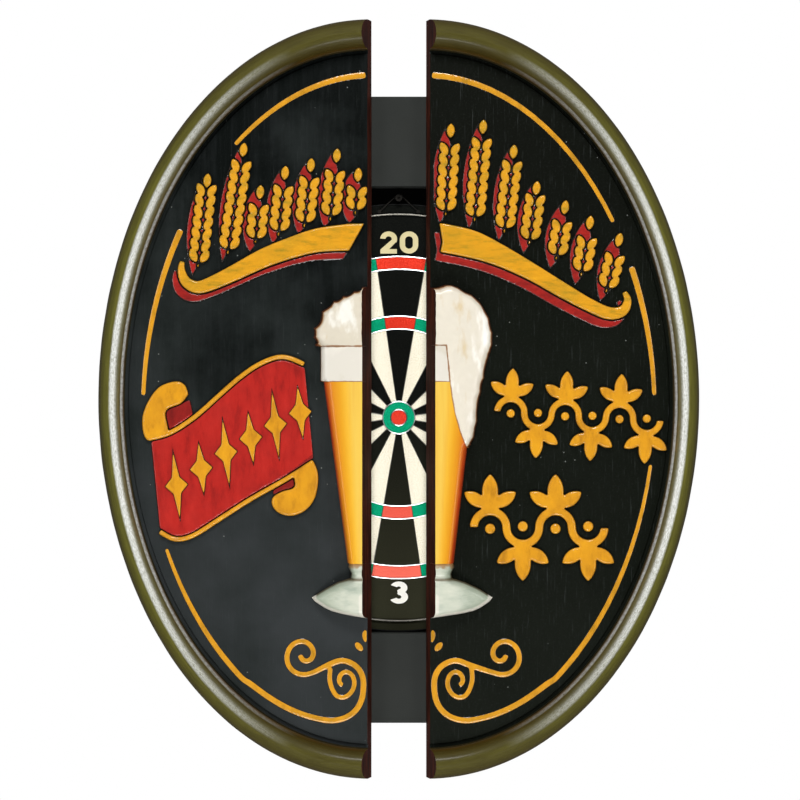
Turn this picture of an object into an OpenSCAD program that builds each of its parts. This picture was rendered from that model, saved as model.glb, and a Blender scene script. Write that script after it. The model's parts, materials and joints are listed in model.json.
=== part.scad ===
// Wall-hung dart board cabinet: a carved oval pub sign sawn into two half-oval doors that
// slide apart on ball-bearing slides in front of a bristle dart board.
// The origin is the centre of the oval on the wall face; +X right, +Z up, the front faces -Y.

/* [Oval doors] */
// Half width of the closed oval
oval_a = 285; // [270:1:300]
// Half height of the oval
oval_c = 396.5; // [385:0.5:410]
// Distance of each door's cut edge from the centre, as the doors stand
half_gap = 28.7; // [2:0.1:60]
// Thickness of the door panel
panel_t = 13; // [10:0.5:16]
// Thickness of the door at the crown of its rim
rim_t = 32; // [26:0.5:36]
// Width of the rim at the sides of the oval
rim_side_w = 27.6; // [22:0.2:34]
// Width of the rim at the top and bottom of the oval
rim_end_w = 32.3; // [24:0.1:38]
// How far the sawn edge leans back over the full thickness
cut_lean = 10; // [0:0.5:14]
// Distance from the wall to the back of the doors
door_d = 66; // [66:0.5:72]

/* [Back panel] */
// Thickness of the back panel
back_t = 12; // [9:0.5:18]
// How far the back panel's sides sit inside the closed oval
back_inset = 4; // [2:0.5:10]
// Wall screw hole spacing across
wall_x = 360; // [340:5:380]
// Wall screw hole spacing up and down
wall_z = 380; // [370:5:400]
// Wall screw hole diameter
wall_hole_d = 5; // [4:0.5:6]

/* [Slides] */
// Height of one slide
slide_h = 45; // [45:0.5:45]
// Length of each slide member
slide_len = 250; // [240:5:250]
// Distance of each slide's outboard end from the centre
slide_end = 140; // [136:1:140]
// Height of the middle of the upper pair of slides
band_top_z = 270.5; // [269:0.5:272]
// Height of the middle of the lower pair of slides
band_bottom_z = -293; // [-294:0.5:-292]
// Depth of the rail blocks in front of the back panel
block_t = 38; // [38:0.5:38]
// Half width of the slide covers
cover_half_w = 78; // [60:1:80]

/* [Dart board] */
// Outside diameter of the dart board
board_d = 451; // [445:0.5:455]
// Thickness of the dart board
board_t = 38; // [36:0.5:38]
// Height of the bull from the oval's centre
bull_z = -19.5; // [-22:0.5:-17]
// Turn of the board on its hanger, in degrees
board_turn = 0.8; // [-2:0.1:2]
// Outer radius of the double ring
double_r = 170; // [169:0.5:171]
// Outer radius of the treble ring
treble_r = 107; // [106:0.5:108]
// Width of the double and treble beds, with their wires
bed_w = 13.5; // [8:0.5:14]
// Outer radius of the outer bull
outer_bull_r = 17; // [15.5:0.5:18]
// Radius of the bull
bull_r = 8.5; // [6:0.5:9]

/* [Carving] */
// Thickness of the gold carving
gold_t = 4; // [2:0.5:5]
// Thickness of the red shadow under it
shadow_t = 1.6; // [1:0.2:2]
// Half width of the painted pinstripe oval
line_a = 238; // [230:1:242]
// Half height of the painted pinstripe oval
line_c = 347; // [335:0.5:350]
// Width of the pinstripe
line_w = 7; // [4:0.5:8]

/* [Hidden] */
$fn = 48;
eps = 0.01;
fit = 0.05;                        // radial clearance of a screw in its hole
left = -1;
right = 1;
upper = 1;
lower = -1;
lean = cut_lean / rim_t;           // sideways lean of the sawn edge for each unit of depth
oval_steps = 48;
board_face = back_t + board_t;     // distance from the wall to the board's face
bed_t = 6;
block_face = back_t + block_t;     // distance from the wall to the rail blocks' front
wire_r = 0.8;
screw_r = 1.95;

// Section of one ball-bearing slide, measured forward from its mounting face.
steel_t = 1.2;
slide_d = 12.7;
ball_r = 2;
outer_ball_h = slide_h / 2 - steel_t - ball_r - fit;
middle_h = outer_ball_h - ball_r - fit;
inner_ball_h = middle_h - steel_t - ball_r - fit;
inner_h = inner_ball_h - ball_r - fit;
slide_pitch = slide_h + 0.5;
middle_shift = half_gap / 2;

// ---- placing helpers ----

// Draws children, given in (across, up, forward), forward of the wall.
module facing(depth) translate([0, -depth, 0]) rotate([90, 0, 0]) children();

// Places a door's pieces: across is measured outward from the sawn edge.
module on_door(side) mirror([side < 0 ? 1 : 0, 0, 0]) translate([half_gap, 0, 0]) facing(door_d)
    children();

module slab(depth, thick) translate([0, 0, depth]) linear_extrude(thick) children();

// Space that the leaning saw cut takes away from a door.
module saw_cut() translate([0, 500, 0]) rotate([90, 0, 0]) linear_extrude(1000)
    polygon([[-90, -10], [-10 * lean, -10], [60 * lean, 60], [-90, 60]]);

// Places the board's pieces around its bull, forward of the back panel.
module on_board(depth) translate([0, 0, bull_z]) facing(depth) rotate(-board_turn) children();

// ---- outline helpers ----

function on_oval(a, c, t) = [a * sin(t), c * cos(t)];
function half_oval(a, c) = [for (i = [0:oval_steps]) on_oval(a, c, 180 * i / oval_steps)];
function unit(v) = v / norm(v);

// A smooth line through a few points, with n steps between each pair.
function bend(p, i, t) =
    let (a = p[max(i - 1, 0)], b = p[i], c = p[i + 1], d = p[min(i + 2, len(p) - 1)])
    (2 * b + t * (c - a) + t * t * (2 * a - 5 * b + 4 * c - d) + t * t * t * (3 * b - a - 3 * c + d)) / 2;
function smooth(p, n) = [for (i = [0:len(p) - 2], k = [0:n - 1]) bend(p, i, k / n), p[len(p) - 1]];

// The outline of a stroke along points [x, y, width].
function side_of(p, i) =
    let (a = p[max(i - 1, 0)], b = p[min(i + 1, len(p) - 1)], d = unit([b[0] - a[0], b[1] - a[1]]))
    [-d[1], d[0]] * p[i][2] / 2;
function widened(p, w) = [for (q = p) [q[0], q[1], w]];
function stroke(p) = [
    for (i = [0:len(p) - 1]) [p[i][0], p[i][1]] + side_of(p, i),
    for (i = [len(p) - 1:-1:0]) [p[i][0], p[i][1]] - side_of(p, i)];
// A pointed leaf, pointing up from its lower tip.
module leaf(length, width) {
    r = (length * length + width * width) / (4 * width);
    translate([0, length / 2]) intersection() {
        translate([r - width / 2, 0]) circle(r);
        translate([width / 2 - r, 0]) circle(r);
    }
}

// Part of a ring from angle a0 to a1.
module ring_part(r, w, a0, a1) intersection() {
    difference() {
        circle(r + w / 2);
        circle(r - w / 2);
    }
    polygon([[0, 0], for (i = [0:6]) let (a = a0 + (a1 - a0) * i / 6) 3 * r * [cos(a), sin(a)]]);
}

// ---- back panel and rails ----

module back_panel() color("#141414") difference() {
    facing(0) linear_extrude(back_t) intersection() {
        polygon([for (i = [0:2 * oval_steps - 1])
            on_oval(oval_a - back_inset, oval_c - back_inset, 180 * i / oval_steps)]);
        translate([-oval_a, band_bottom_z - slide_pitch])
            square([2 * oval_a, band_top_z - band_bottom_z + 2 * slide_pitch]);
    }
    for (x = [-1, 1], z = [-1, 1]) translate([x * wall_x / 2, 0, z * wall_z / 2]) facing(0) {
        translate([0, 0, -1]) cylinder(d = wall_hole_d, h = back_t + 2);
        translate([0, 0, back_t - wall_hole_d / 2])
            cylinder(d1 = wall_hole_d, d2 = 2 * wall_hole_d + 0.02, h = wall_hole_d / 2 + eps);
    }
    translate([0, 0, bull_z + board_d / 2 + 6]) facing(back_t - 10) cylinder(r = screw_r + fit, h = 11);
}

// Fixing places: [x, row] of the screws through the slides' fixed members.
outer_screw_x = [40, slide_end - 15];
countersink_r = 3.6;
cover_screw_x = [-55, 55];

module rail_block(z) color("#1a1a1a") difference() {
    translate([-slide_end, -block_face, z - slide_pitch]) cube([2 * slide_end, block_t, 2 * slide_pitch]);
    for (row = [upper, lower], x = outer_screw_x)
        translate([row * -x, 0, z + row * slide_pitch / 2]) facing(block_face - 18) cylinder(r = screw_r + fit, h = 19);
    for (x = cover_screw_x, s = [-1, 1])
        translate([x, -block_face + 7, z + s * slide_pitch]) rotate([s * 90 - 90, 0, 0])
            translate([0, 0, -12]) cylinder(r = screw_r + fit, h = 13);
}

cover_gap = 0.3;
cover_front = block_face + slide_d + 0.6 + steel_t;
cover_h = 2 * slide_pitch + 2 * cover_gap + 2 * steel_t;
cover_back = block_face - 14;

module slide_cover(z) color("#333533") difference() {
    translate([-cover_half_w, -cover_front, z - cover_h / 2])
        cube([2 * cover_half_w, cover_front - cover_back, cover_h]);
    translate([-cover_half_w - 1, -cover_front + steel_t, z - cover_h / 2 + steel_t])
        cube([2 * cover_half_w + 2, cover_front, cover_h - 2 * steel_t]);
    for (x = cover_screw_x, s = [-1, 1])
        translate([x, -block_face + 7, z + s * slide_pitch]) rotate([s * 90 - 90, 0, 0])
            translate([0, 0, -3]) cylinder(r = screw_r + fit, h = 6);
}

// Countersunk screws of the slides' fixed members and pan-head screws of the covers.
module rail_screws() color("#8f9296") for (z = [band_top_z, band_bottom_z]) {
    for (row = [upper, lower], x = outer_screw_x)
        translate([row * -x, 0, z + row * slide_pitch / 2]) facing(block_face - 16) {
            cylinder(r = screw_r, h = 16 + steel_t - 0.1);
            translate([0, 0, 16]) cylinder(r1 = screw_r, r2 = countersink_r - 0.25, h = steel_t - 0.1);
        }
    for (x = cover_screw_x, s = [-1, 1])
        translate([x, -block_face + 7, z + s * slide_pitch]) rotate([s * 90 - 90, 0, 0]) {
            translate([0, 0, -10]) cylinder(r = screw_r, h = 10 + cover_gap + steel_t + 0.5);
            translate([0, 0, cover_gap + steel_t]) cylinder(r = 3.8, h = 1.8);
        }
}

// ---- ball-bearing slides ----

// A bent channel: web at depth d0, flanges to depth d1, with an optional lip.
function channel(h, d0, d1, lip) = [
    [-d0, -h], [-d1, -h], [-d1, -h + lip], [-d1 + steel_t, -h + lip], [-d1 + steel_t, -h + steel_t],
    [-d0 - steel_t, -h + steel_t], [-d0 - steel_t, h - steel_t],
    [-d1 + steel_t, h - steel_t], [-d1 + steel_t, h - lip], [-d1, h - lip], [-d1, h], [-d0, h]];
function open_channel(h, d0, d1, web_d) = [
    [-d0, -h], [-d1, -h], [-d1, -h + steel_t], [-web_d, -h + steel_t], [-web_d, h - steel_t],
    [-d1, h - steel_t], [-d1, h], [-d0, h]];

// Places a slide member of the door on one side, in the band at height z, shifted outward.
// The left door runs on the upper row and the right door on the lower row of each band.
module slide_row(side, z, shift) mirror([side < 0 ? 0 : 1, 0, 0])
    translate([-slide_end - shift, -block_face, z - side * slide_pitch / 2]) children();

module member(outline) rotate([90, 0, 90]) linear_extrude(slide_len) polygon(outline);

module slide_outer(side, z) color("#9a9da1") slide_row(side, z, 0) difference() {
    member(channel(slide_h / 2, 0, 10.4, 3));
    for (x = outer_screw_x) translate([slide_end - x, 0, 0]) facing(0) {
        translate([0, 0, -1]) cylinder(r = screw_r + fit, h = 4);
        cylinder(r1 = screw_r + fit, r2 = countersink_r, h = steel_t + eps);
    }
}

module slide_middle(side, z) color("#b2b5b8") slide_row(side, z, middle_shift)
    member(open_channel(middle_h, 2.2, 10.2, 2.2 + steel_t));

inner_front = slide_d;
door_screw_x = [100, 118];         // from the centre, with the doors closed

module slide_inner(side, z) color("#a6a9ad") slide_row(side, z, half_gap) difference() {
    member(open_channel(inner_h, inner_front, 4.6, inner_front - steel_t));
    for (x = door_screw_x) translate([slide_end - x, 0, 0]) facing(0)
        cylinder(r = screw_r + fit, h = slide_d + 1);
}

// Ball cages: strips that keep the balls of one row a set distance apart.
ball_count = 7;
ball_pitch = 11;
cage_len = ball_count * ball_pitch;
module ball_strip(depth) {
    translate([0, -depth - 0.9, -0.5]) cube([cage_len, 1.8, 1]);
    for (i = [0:ball_count - 1]) translate([(i + 0.5) * ball_pitch, -depth, 0]) rotate(90) sphere(r = ball_r);
}
module cages(side, h, depth, shift, start) color("#c9ccd0") for (z = [band_top_z, band_bottom_z])
    slide_row(side, z, shift) for (s = [-1, 1]) translate([start, 0, s * h]) ball_strip(depth);
module outer_cages(side) cages(side, outer_ball_h, 5.6, half_gap / 4, 70);
module inner_cages(side) cages(side, inner_ball_h, 6.6, half_gap * 3 / 4, 82);

// Packing plates between each inner member and the door's back, and their screws.
plate_x = [92, 128];
module door_plates(side) color("#55585b") for (z = [band_top_z, band_bottom_z])
    slide_row(side, z, half_gap) difference() {
        translate([slide_end - plate_x[1], -door_d + block_face, -inner_h])
            cube([plate_x[1] - plate_x[0], door_d - block_face - slide_d, 2 * inner_h]);
        for (x = door_screw_x) translate([slide_end - x, 0, 0]) facing(0) cylinder(r = screw_r + fit, h = 20);
    }
door_screw_len = 8;
module door_screws(side) color("#8f9296") for (z = [band_top_z, band_bottom_z])
    slide_row(side, z, half_gap) for (x = door_screw_x) translate([slide_end - x, 0, 0]) {
        facing(inner_front - steel_t - 1.8) cylinder(r = 3.6, h = 1.8);
        facing(inner_front - steel_t - 1)
            cylinder(r = screw_r, h = door_d - block_face - inner_front + steel_t + 1 + door_screw_len);
    }

// ---- dart board ----

order = [20, 1, 18, 4, 13, 6, 10, 15, 2, 17, 3, 19, 7, 16, 8, 11, 14, 9, 12, 5];
seam = 0.1;
board_r = board_d / 2;
band_t = 0.8;

module board_core() color("#4a3a28") on_board(back_t)
    cylinder(r = board_r - band_t - seam, h = board_t - bed_t - seam);
module board_band() color("#6d7074") on_board(back_t) difference() {
    cylinder(r = board_r, h = board_t + 0.5);
    translate([0, 0, -1]) cylinder(r = board_r - band_t, h = board_t + 3);
}
module board_surround() color("#131310") on_board(board_face - bed_t) difference() {
    cylinder(r = board_r - band_t - seam, h = bed_t);
    translate([0, 0, -1]) cylinder(r = double_r + seam, h = bed_t + 2);
}

// One bed of the sector with index i, between two radii.
module bed(i, r0, r1) rotate(-18 * i) linear_extrude(bed_t) intersection() {
    difference() {
        circle(r1 - seam);
        circle(r0 + seam);
    }
    polygon([[0, seam * 4], [-tan(9) * 300, 300], [tan(9) * 300, 300]]);
}
module plain_beds(first) on_board(board_face - bed_t) for (i = [first:2:19]) {
    bed(i, outer_bull_r, treble_r - bed_w);
    bed(i, treble_r, double_r - bed_w);
}
module bonus_beds(first) on_board(board_face - bed_t) for (i = [first:2:19]) {
    bed(i, treble_r - bed_w, treble_r);
    bed(i, double_r - bed_w, double_r);
}
module black_beds() color("#191913") plain_beds(0);
module cream_beds() color("#efe8cc") plain_beds(1);
module red_beds() color("#f0402c") bonus_beds(0);
module green_beds() color("#00a273") {
    bonus_beds(1);
    on_board(board_face - bed_t) difference() {
        cylinder(r = outer_bull_r - seam, h = bed_t);
        translate([0, 0, -1]) cylinder(r = bull_r + seam, h = bed_t + 2);
    }
}
module bull() color("#e8352a") on_board(board_face - bed_t) cylinder(r = bull_r, h = bed_t);

module spider() color("#d8dadc") on_board(board_face) linear_extrude(2 * wire_r) {
    for (r = [bull_r, outer_bull_r, treble_r - bed_w, treble_r, double_r - bed_w, double_r]) difference() {
        circle(r + wire_r);
        circle(r - wire_r);
    }
    for (i = [0:19]) rotate(18 * i + 9) translate([-wire_r, outer_bull_r])
        square([2 * wire_r, double_r + 6 - outer_bull_r]);
}

number_ring_r = 214.5;
ring_wire_r = 1.2;
// The number ring unclips from the board and stands upright.
module on_ring(depth) translate([0, 0, bull_z]) facing(depth) children();
module number_ring() color("#b9bcbf") on_ring(board_face + ring_wire_r)
    rotate_extrude() translate([number_ring_r, 0]) circle(ring_wire_r);
module ring_clips() color("#b9bcbf") on_ring(board_face) for (i = [0:3]) rotate(45 + 90 * i) {
    translate([-3, number_ring_r - 3, 2 * ring_wire_r]) cube([6, board_r - number_ring_r + 3.8, 0.8]);
    translate([-3, board_r, -8]) cube([6, 0.8, 8 + 2 * ring_wire_r + 0.8]);
}

// Digits on a grid 7.6 wide and 10 high, with strokes 2.2 wide.
digit_w = 7.6;
pen = 2.2;
module tall_oval(r) {
    translate([digit_w / 2, 6.2]) circle(r);
    translate([digit_w / 2, 3.8]) circle(r);
    translate([digit_w / 2 - r, 3.8]) square([2 * r, 2.4]);
}
module hook(y, r, a0, a1) translate([digit_w / 2, y]) ring_part(r - pen / 2, pen, a0, a1);
module loop(y, r) translate([digit_w / 2, y]) difference() {
    circle(r);
    circle(r - pen);
}
module digit(n) {
    if (n == 0) difference() {
        tall_oval(3.8);
        tall_oval(3.8 - pen);
    }
    if (n == 1) polygon([[2.9, 0], [5.2, 0], [5.2, 10], [3.5, 10], [1.2, 8.5], [1.2, 6.5], [2.9, 7.3]]);
    if (n == 2) {
        hook(6.5, 3.5, -25, 175);
        polygon([[0.4, 0], [7.2, 0], [7.2, 2], [4, 2], [7, 5.4], [5.2, 6.4], [0.4, 1.8]]);
    }
    if (n == 3) translate([digit_w / 2, 0]) scale([1.24, 1]) translate([-digit_w / 2, 0]) {
        hook(7.15, 2.85, -100, 155);
        hook(3.05, 3.05, -155, 100);
    }
    if (n == 4) difference() {
        polygon([[4.2, 0], [6.4, 0], [6.4, 2], [7.5, 2], [7.5, 3.9], [6.4, 3.9], [6.4, 10], [4, 10],
            [0.1, 3.9], [0.1, 2], [4.2, 2]]);
        polygon([[2.2, 3.9], [4.2, 3.9], [4.2, 7.1]]);
    }
    if (n == 5) {
        hook(3.2, 3.2, -160, 125);
        polygon([[1, 4.2], [3, 5], [3.2, 8], [6.8, 8], [6.8, 10], [1.4, 10]]);
    }
    if (n == 6) {
        loop(3.3, 3.3);
        hook(6.7, 3.3, 25, 180);
        translate([digit_w / 2 - 3.3, 3.3]) square([pen, 3.4]);
    }
    if (n == 7) polygon([[0.5, 10], [7.2, 10], [7.2, 8.1], [4.2, 0], [1.8, 0], [4.7, 8], [0.5, 8]]);
    if (n == 8) {
        loop(7.2, 2.8);
        loop(3.1, 3.1);
    }
    if (n == 9) translate([digit_w, 10]) rotate(180) digit(6);
}
digit_scale = [2.56, 2.34];
digit_step = 8.4;
number_mid_r = 184.8;
function digit_of(n, k) = k == 0 ? floor(n / 10) : n % 10;
module number(n) scale(digit_scale) {
    if (n < 10) translate([-digit_w / 2, -5]) digit(n);
    else for (k = [0, 1]) translate([(k - 0.5) * digit_step - digit_w / 2, -5]) digit(digit_of(n, k));
}
module numerals() color("#ece3bd") on_ring(board_face) linear_extrude(0.8) for (i = [0:19])
    rotate(-18 * i) translate([0, number_mid_r]) rotate(i > 5 && i < 15 ? 180 : 0) number(order[i]);

module rod(p, q, r) {
    d = q - p;
    translate(p) rotate([0, acos(d[2] / norm(d)), atan2(d[1], d[0])]) cylinder(r = r, h = norm(d));
}
hanger_z = bull_z + board_r + 6;
hanger_reach = 20.5;
hanger_drop = 14.4;
hanger_wire_r = 0.7;
hanger_wire_d = board_face + 1.5;
hanger_head_d = board_face + 2.6;
module hanger_screw() color("#b08a3c") translate([0, 0, hanger_z]) difference() {
    union() {
        facing(back_t - 8) cylinder(r = screw_r, h = hanger_head_d - back_t + 8 + eps);
        facing(hanger_head_d) cylinder(r = 3.6, h = 3);
    }
    facing(hanger_head_d + 1.4) cylinder(r = 1.6, h = 2, $fn = 6);
}
// Wire bail from two staples on the board's rim up and over the screw.
module hanger_wire() color("#c4c7ca") {
    foot_z = hanger_z - hanger_drop;
    top_z = hanger_z + screw_r + hanger_wire_r + 0.1;
    top_x = 2.6;
    for (s = [-1, 1]) {
        rod([s * top_x, -hanger_wire_d, top_z], [s * hanger_reach, -hanger_wire_d, foot_z], hanger_wire_r);
        translate([s * top_x, -hanger_wire_d, top_z]) sphere(r = hanger_wire_r);
        translate([s * hanger_reach, 0, foot_z]) facing(board_face) cylinder(r = 2, h = 2.4);
    }
    rod([-top_x, -hanger_wire_d, top_z], [top_x, -hanger_wire_d, top_z], hanger_wire_r);
}

// ---- doors ----

module panel(side) color("#1c1f1f") on_door(side) difference() {
    linear_extrude(panel_t) polygon(half_oval(oval_a - rim_side_w - seam, oval_c - rim_end_w - seam));
    saw_cut();
    for (z = [band_top_z, band_bottom_z], x = door_screw_x)
        translate([x, z - side * slide_pitch / 2, -1]) cylinder(r = screw_r + fit, h = door_screw_len + 2);
}

// Rim section: share of the rim's width from its outside, and height above the door's back.
rim_section = [[0, 0], [0, 9], [0.03, 16], [0.1, 22.5], [0.21, 27.6], [0.36, 31], [0.5, 32], [0.64, 31],
    [0.77, 27.6], [0.87, 22.5], [0.93, 17], [0.95, 12.5], [1, 12], [1, 0]];
module rim(side) color("#5f6226") on_door(side) {
    m = len(rim_section);
    points = [for (i = [0:oval_steps], s = rim_section)
        let (a = oval_a - s[0] * rim_side_w, c = oval_c - s[0] * rim_end_w, h = s[1] * rim_t / 32,
            t0 = asin(lean * h / a), t = t0 + (180 - 2 * t0) * i / oval_steps)
        [a * sin(t), c * cos(t), h]];
    sides = [for (i = [0:oval_steps - 1], k = [0:m - 1], half = [0, 1])
        let (p = i * m + k, q = i * m + (k + 1) % m)
        half == 0 ? [p, q, q + m] : [p, q + m, p + m]];
    ends = [[for (k = [m - 1:-1:0]) k], [for (k = [0:m - 1]) oval_steps * m + k]];
    polyhedron(points, concat(sides, ends));
}

// Painted pinstripe: arcs of an oval that is slightly drawn in at its shoulders, then a line
// that runs into two spirals at the foot.
line_z = -9;
line_pinch = 1.028;
function on_line(t) = [line_a * pow(sin(t), line_pinch),
    line_z + line_c * sign(cos(t)) * pow(abs(cos(t)), line_pinch)];
function oval_line(t0, t1, w0, w1, n) = [for (i = [0:n])
    let (f = i / n, p = on_line(t0 + (t1 - t0) * f)) [p[0], p[1], w0 + (w1 - w0) * f]];
foot_run = [[127, -296.5], [110, -309], [93, -319.5], [77, -327], [60, -332.5], [42, -335.5]];
foot_loop = [[27, -332.5], [16, -324.5], [10, -313.5], [8.2, -301], [9, -290], [14, -280.5], [23, -274.5],
    [33, -273], [45, -277.5]];
outer_curl = [[61, -285.5], [71.5, -287.5], [80.5, -284.5], [86.5, -277.5], [88, -268.5], [85, -259.5],
    [78, -253.8], [70, -253], [63.5, -257], [60.3, -264], [62, -270.5], [67.3, -273.7], [72.5, -271.3],
    [74.3, -266.5]];
inner_curl = [[42.5, -280], [43.5, -292], [41, -302], [36.3, -309.5], [30, -311.5], [23.5, -308.7],
    [18.8, -302.3], [17.6, -295], [20, -288], [25.5, -284.5], [31, -286.5], [33.7, -292], [32.6, -296.7],
    [29.5, -298.7]];
foot_dots = [[12.9, -258.4, 50, 5.8], [5, -248, 75, 7.4]];   // [across, up, turn, half length]
function foot_line(t0, reach) = concat(
    oval_line(t0, 139, line_w * 0.6, line_w * 0.9, 10),
    smooth(concat(oval_line(142, 145, line_w * 0.9, line_w * 0.9, 1), widened(foot_run, line_w * 0.95),
        widened(foot_loop, line_w * 0.95),
        widened([for (p = outer_curl) p + [reach, 0]], line_w * 0.85)), 3));
module pinstripe(side, arcs, t0, reach) color("#eca421") on_door(side) slab(panel_t, 1.2) difference() {
    union() {
        for (a = arcs) polygon(stroke(oval_line(a[0], a[1], line_w, line_w * 0.7, 14)));
        polygon(stroke(foot_line(t0, reach)));
        polygon(stroke(smooth(widened([for (p = inner_curl) p + [reach / 2, 0]], line_w * 0.78), 3)));
        for (d = foot_dots) translate([d[0], d[1]]) rotate(d[2]) scale([1, 0.62]) circle(d[3]);
    }
    translate([-10, -400]) square([14.5, 800]);
}

// Barley ears: [foot x, foot y, tip x, tip y].
left_ears = [[17, 191, 13, 242], [43, 185, 35, 262], [70, 178, 62, 252], [97, 169, 89, 244], [121, 161, 115, 224],
    [150, 150, 132, 268], [181, 136, 170, 236]];
right_ears = [[20, 190, 26, 288], [50, 184, 60, 292], [81, 172, 92, 266], [107, 160, 116, 228], [135, 144, 146, 208],
    [161, 127, 172, 192], [187, 110, 203, 174]];
left_swash = [[24, 168.6, 29], [56, 165.5, 26], [84, 157.5, 23], [112, 147, 21], [140, 133, 18], [161, 123, 16],
    [180, 116.5, 14], [193, 122, 12], [198, 134, 9], [197, 144, 6]];
left_tail = [[6.5, 183.5], [27, 183.2], [25, 154.3], [22.8, 154.3]];
right_swash = [[17, 168, 31], [47, 161.5, 30], [76, 150, 24], [110, 132.5, 19], [143, 113, 17], [168, 99, 15],
    [190, 89.5, 14], [205, 92, 12], [210, 103, 9], [206, 112, 6]];
right_tail = [[13, 184], [20, 183.3], [20, 153], [18, 152.5]];
grain = [16.5, 9.6];
grain_step = 11.5;

function ear_len(e) = norm([e[2] - e[0], e[3] - e[1]]);
module on_ear(e) translate([e[0], e[1]]) rotate(atan2(e[3] - e[1], e[2] - e[0]) - 90) children();
module ear(e) on_ear(e) {
    count = floor((ear_len(e) - 20) / grain_step);
    for (i = [0:count - 1], s = [-1, 1])
        translate([s * 1.8, 6 + i * grain_step]) rotate(-s * 30) leaf(grain[0], grain[1]);
    translate([0, ear_len(e) - grain[0]]) leaf(grain[0], grain[1]);
    leaf(6.2, 3);
}
module swoosh(swash, tail) {
    polygon(stroke(smooth(swash, 5)));
    polygon(tail);
}
module crest(side, ears, swash, tail) color("#eca421") on_door(side) slab(panel_t, gold_t) {
    for (e = ears) ear(e);
    swoosh(swash, tail);
}
module crest_shadow(side, ears, swash, tail) color("#b3211f") on_door(side)
slab(panel_t, shadow_t) difference() {
    intersection() {
        translate([-side * 6, -9]) {
            for (e = ears) on_ear(e) leaf(ear_len(e) + 6, 23);
            swoosh(swash, tail);
        }
        translate([7, 0]) square([300, 400]);
    }
    for (e = ears) ear(e);
    swoosh(swash, tail);
}

// Scroll-shaped banner across the lower left door.
banner_top = smooth([[230, -44], [209, -38], [184, -22], [158, 1], [138, 18.5], [118, 32.5], [98, 40.5],
    [84, 39.5], [69, 33]], 4);
banner_bottom = smooth([[60, -62], [88, -80], [125, -101], [158, -122], [186, -139.5], [205, -143], [221, -135]], 4);
edge_w = 6;
curl_gap = 0.3;
module banner_body() polygon(concat(banner_top, banner_bottom));
module upper_curl() polygon(smooth([[190, 5], [194, 15], [203, 19], [220, 14], [232, 0], [239, -18], [238, -36],
    [231, -44], [212, -35], [214, -13], [198, -5], [190, 5]], 4));
module lower_curl() polygon(smooth([[60, -64], [55.5, -75], [55, -89], [59, -105], [69, -117], [84, -122.5],
    [98, -118.5], [104.5, -109], [102, -101], [92, -95.5], [80.5, -91.5], [79.5, -78], [60, -64]], 4));
module upper_fold() polygon([[215, -12], [189, 0], [185, -19], [212, -36]]);
module lower_fold() polygon([[104, -90], [80, -76], [80, -93], [102, -102]]);
module gold_edging() {
    polygon(stroke(widened([for (p = banner_top) p + [0.5, edge_w / 2]], edge_w)));
    polygon(stroke(widened([for (p = banner_bottom) p - [0, edge_w / 2]], edge_w)));
    upper_curl();
    lower_curl();
}
module banner() color("#b92a2c") on_door(left) slab(panel_t, 2) difference() {
    union() {
        banner_body();
        upper_fold();
        lower_fold();
    }
    gold_edging();
}
module banner_curls() color("#eca421") on_door(left) slab(panel_t, gold_t) gold_edging();

// Six tall four-pointed stars that climb along the banner.
module star(h, w) polygon([[0, h / 2], [w * 0.18, w * 0.34], [w / 2, 0], [w * 0.18, -w * 0.34], [0, -h / 2],
    [-w * 0.18, -w * 0.34], [-w / 2, 0], [-w * 0.18, w * 0.34]]);
star_count = 6;
star_w = 25.4;
star_h = [78, 60];
module banner_stars() color("#eca421") on_door(left) slab(panel_t + 2, gold_t - 2)
    for (i = [0:star_count - 1]) let (f = i / (star_count - 1))
        translate([203 - 129 * f, -90 + 76 * f + 4 * sin(180 * f)]) rotate(-6) star(star_h[i % 2], star_w);

// Leafy vine in two rows on the right door, the lower row larger.
vine_w = 8;
vine_r = 14.2;
vine_leaf = [31, 15];
vine_side_leaf = [25, 12.5];
module vine_unit(flip) mirror([0, flip, 0]) {
    ring_part(vine_r, vine_w, 0, 180);
    translate([0, -1]) circle(5);
    translate([0, vine_r + 2]) {
        leaf(vine_leaf[0], vine_leaf[1]);
        for (s = [-1, 1]) rotate(s * 57) translate([0, 2.5]) leaf(vine_side_leaf[0], vine_side_leaf[1]);
    }
}
module vine_row(u, v, count, size, slope) translate([u, v]) rotate(slope) scale(size) for (i = [0:count - 1])
    translate([2 * vine_r * i, 0]) vine_unit(i % 2);
module vine() color("#efa31f") on_door(right) slab(panel_t, gold_t) {
    vine_row(88, -14, 6, 1, -3);
    vine_row(66.5, -134, 4, 1.2, 0);
}

// ---- beer glass carved across the saw cut ----

// A block whose front is rounded like the side of a barrel with its axis on the saw cut.
module rounded_front(half_w, height) {
    r = (half_w * half_w + height * height) / (2 * height);
    translate([0, 300, panel_t + height - r]) rotate([90, 0, 0]) cylinder(r = r, h = 600, $fn = 96);
}
relief_h = rim_t - panel_t;
module relief(half_w, height) difference() {
    intersection() {
        slab(panel_t, 40) children();
        rounded_front(half_w, height);
    }
    saw_cut();
}

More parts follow.
